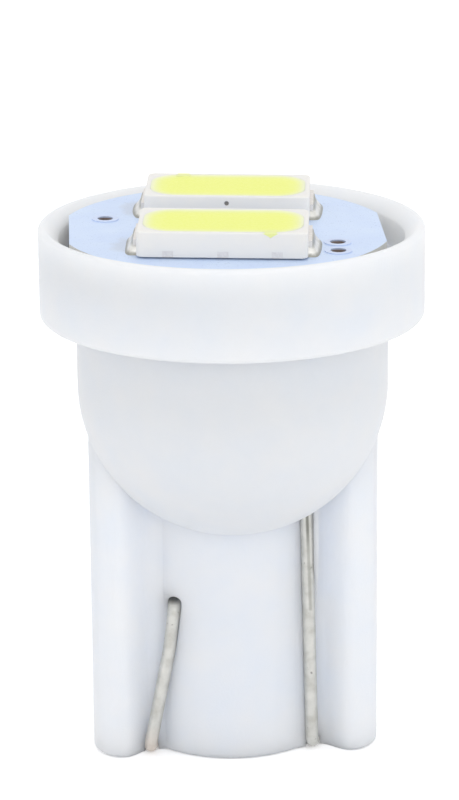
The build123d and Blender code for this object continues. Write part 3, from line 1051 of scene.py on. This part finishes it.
def makeLedFill(name, place):
    # Silicone in the window, and the drop of it that has run into the notch.
    fill = solid("fill", phosphorShape())
    setMark(fill, "rim", rimDistance(pointsOf(fill)))
    past, inset, tone = led["drop"]
    drop = solid("drop", notchTool(-(led["depth"] / 2 + past), inset))
    points = pointsOf(drop)
    points[:, 2] = np.minimum(points[:, 2], ledTop - led["fillSink"] / 2)
    drop.data.vertices.foreach_set("co", points.astype(np.float32).ravel())
    setMark(drop, "rim", np.full(len(points), tone))
    joined = bmesh.new()
    joined.from_mesh(fill.data)
    joined.from_mesh(drop.data)
    joined.to_mesh(fill.data)
    joined.free()
    bpy.data.objects.remove(drop)
    fill.data.transform(place)
    settle(fill, name + "LedPhosphor", phosphor, [name + "_led_phosphor"], 50)


solder = {
    "reach": 0.30,
    "spread": 0.2,
    "height": 0.42,
    "topReach": 0.05,
    "hollow": 1.7,              # power of the hollow curve at its foot
    "crestDraw": 0.12,          # it draws in by this at each end of its crest
    "lump": 0.05,
    "squareness": (0.45, 0.8),  # powers of cosine and sine, 1 where it would be round
}


def solderRings(phase):
    # Half-round mound against the end wall: each ring is a D, and the foot runs out in a hollow curve.
    s = solder
    rings = []
    blunt, flat = s["squareness"]
    turn = np.linspace(-pi / 2, pi / 2, 25)
    for share in np.linspace(0, 1, 12):
        hollow = (1 - share) ** s["hollow"]
        reach = led["tabThickness"] + s["topReach"] + (s["reach"] - s["topReach"]) * hollow
        half = led["frameDepth"] / 2 + s["spread"] * hollow - s["crestDraw"] * share ** 3
        lump = 1 + s["lump"] * np.sin(3 * turn + phase) * (1 - share)
        x = reach * lump * np.cos(turn) ** blunt
        y = half * np.sign(np.sin(turn)) * np.abs(np.sin(turn)) ** flat
        outer = np.stack([x, y, np.full_like(x, s["height"] * share)], axis=1)
        back = outer[::-1][1:-1] * (0, 1, 1)
        rings.append(np.concatenate([outer, back]))
    return rings


for name, side in (("front", -1), ("rear", 1)):
    turned = Matrix.Identity(4) if side < 0 else turnHalf
    place = enginePlace @ Matrix.Translation((0, side * led["pitch"] / 2, 0)) @ turned
    makeLedBody(name, place)
    makeLedFill(name, place)
    for pole, end in (("cathode", -1), ("anode", 1)):
        endPlace = Matrix.Translation((end * led["length"] / 2, 0, 0))
        facing = Matrix.Identity(4) if end > 0 else turnHalf
        mound = solid("mound", shellMesh(solderRings(side + end)), place @ endPlace @ facing)
        stands = [name + "_led_" + pole + "_solder"]
        settle(mound, name + "Led" + pole.capitalize() + "Solder", jointSolder, stands, 50)
print("leds made")


# The frame's own pieces that stay get their finish here

finishes = {
    "circuit_board": boardMask,
    "plated_hole": holePlating,
    "led_chip": metals["chipCrystal"],
    "led_cathode": metals["framePlating"],
    "led_anode": metals["framePlating"],
    "wire_solder": metals["solderMetal"],
    "resistor_body": ceramic,
    "resistor_left_cap": metals["platedMetal"],
    "resistor_right_cap": metals["platedMetal"],
    "resistor_left_solder": metals["solderMetal"],
    "resistor_right_solder": metals["solderMetal"],
}
for name, cadPiece in nodes.items():
    for ending, material in finishes.items():
        if name.endswith(ending):
            cadPiece.data.materials.clear()
            cadPiece.data.materials.append(material)
print("finishes put on the solids that stay")


# Studio: pale floor, white surroundings and four broad lamps

studio = {  # sizes and places in metres, power in watts
    "floorSize": 0.9,
    "floorColour": (0.90, 0.90, 0.90),
    "floorGlow": 0.33,
    "horizon": 0.82,
    "zenith": 0.77,
    "aim": (0, 0, 0.009),
    "lamps": {  # power, size, place
        "frontLamp": (0.16, 0.24, (0.02, -0.25, 0.05)),
        "leftLamp": (0.035, 0.16, (-0.22, 0.0, 0.05)),
        "rightLamp": (0.045, 0.16, (0.22, -0.01, 0.05)),
        "topLamp": (0.115, 0.20, (0.0, -0.02, 0.26)),
    },
}


def rayMask(tree):
    # 1 for rays that see the backdrop itself: from the camera, a reflection or through glass.
    light = add(tree, "ShaderNodeLightPath")
    seen = calculate(tree, "MAXIMUM", light.outputs["Is Camera Ray"], light.outputs["Is Glossy Ray"])
    return calculate(tree, "MAXIMUM", seen, light.outputs["Is Transmission Ray"])


def makeFloor():
    # Pale floor, with a glow in the rays that see the backdrop, which lifts it to white round the object.
    s = studio
    half = s["floorSize"] / 2
    corners = [(-half, -half, 0), (half, -half, 0), (half, half, 0), (-half, half, 0)]
    floorMesh = bpy.data.meshes.new("studioFloor")
    floorMesh.from_pydata(corners, [], [(0, 1, 2, 3)])
    floor = bpy.data.objects.new("studioFloor", floorMesh)
    bpy.context.scene.collection.objects.link(floor)
    material, tree, shader = newMaterial("studioFloor", s["floorColour"], 0.9)
    glow = add(tree, "ShaderNodeEmission")
    tree.links.new(calculate(tree, "MULTIPLY", rayMask(tree), s["floorGlow"]), glow.inputs["Strength"])
    both = add(tree, "ShaderNodeAddShader")
    tree.links.new(shader.outputs[0], both.inputs[0])
    tree.links.new(glow.outputs[0], both.inputs[1])
    tree.links.new(both.outputs[0], tree.nodes["Material Output"].inputs["Surface"])
    floorMesh.materials.append(material)


def makeSurroundings():
    # Light falls off from the horizon to the zenith; the rays that see the backdrop find it plain white.
    world = bpy.data.worlds.new("whiteStudio")
    bpy.context.scene.world = world
    world.use_nodes = True
    tree = world.node_tree
    background = tree.nodes["Background"]
    background.inputs["Color"].default_value = (1, 1, 1, 1)
    direction = add(tree, "ShaderNodeTexCoord")
    upward = separate(tree, direction.outputs["Generated"])["Z"]
    strength = stretch(tree, upward, 0.0, 0.9, studio["horizon"], studio["zenith"])
    tree.links.new(calculate(tree, "MAXIMUM", strength, rayMask(tree)), background.inputs["Strength"])


def makeLamps():
    for name, (power, size, place) in studio["lamps"].items():
        lampData = bpy.data.lights.new(name, "AREA")
        lampData.energy = power
        lampData.size = size
        lamp = bpy.data.objects.new(name, lampData)
        lamp.location = place
        aim = Vector(studio["aim"]) - lamp.location
        lamp.rotation_euler = aim.to_track_quat("-Z", "Y").to_euler()
        bpy.context.scene.collection.objects.link(lamp)


camera = {  # places in millimetres, angles in degrees
    "target": (-0.11, 0.0, 11.86),
    "distance": 109.89,
    "azimuth": -3.7,
    "elevation": 16.62,
    "roll": 0.473,
    "lens": 153.21,
    "sensorWidth": 36,
    "clip": (0.005, 20),    # metres
}


def makeCamera():
    c = camera
    data = bpy.data.cameras.new("photoCamera")
    data.lens = c["lens"]
    data.sensor_width = c["sensorWidth"]
    data.clip_start, data.clip_end = c["clip"]
    view = bpy.data.objects.new("photoCamera", data)
    a, e = radians(c["azimuth"]), radians(c["elevation"])
    # Towards the camera: (sin a cos e, -cos a cos e, sin e)
    back = Vector((sin(a) * cos(e), -cos(a) * cos(e), sin(e)))
    place = Vector(c["target"]) * mm + back * c["distance"] * mm
    turn = (-back).to_track_quat("-Z", "Y").to_matrix().to_4x4()
    view.matrix_world = Matrix.Translation(place) @ turn @ Matrix.Rotation(radians(-c["roll"]), 4, "Z")
    bpy.context.scene.collection.objects.link(view)
    bpy.context.scene.camera = view


makeFloor()
makeSurroundings()
makeLamps()
makeCamera()
bpy.context.scene.view_settings.view_transform = "Standard"
print("studio and camera set")

bpy.context.view_layer.update()
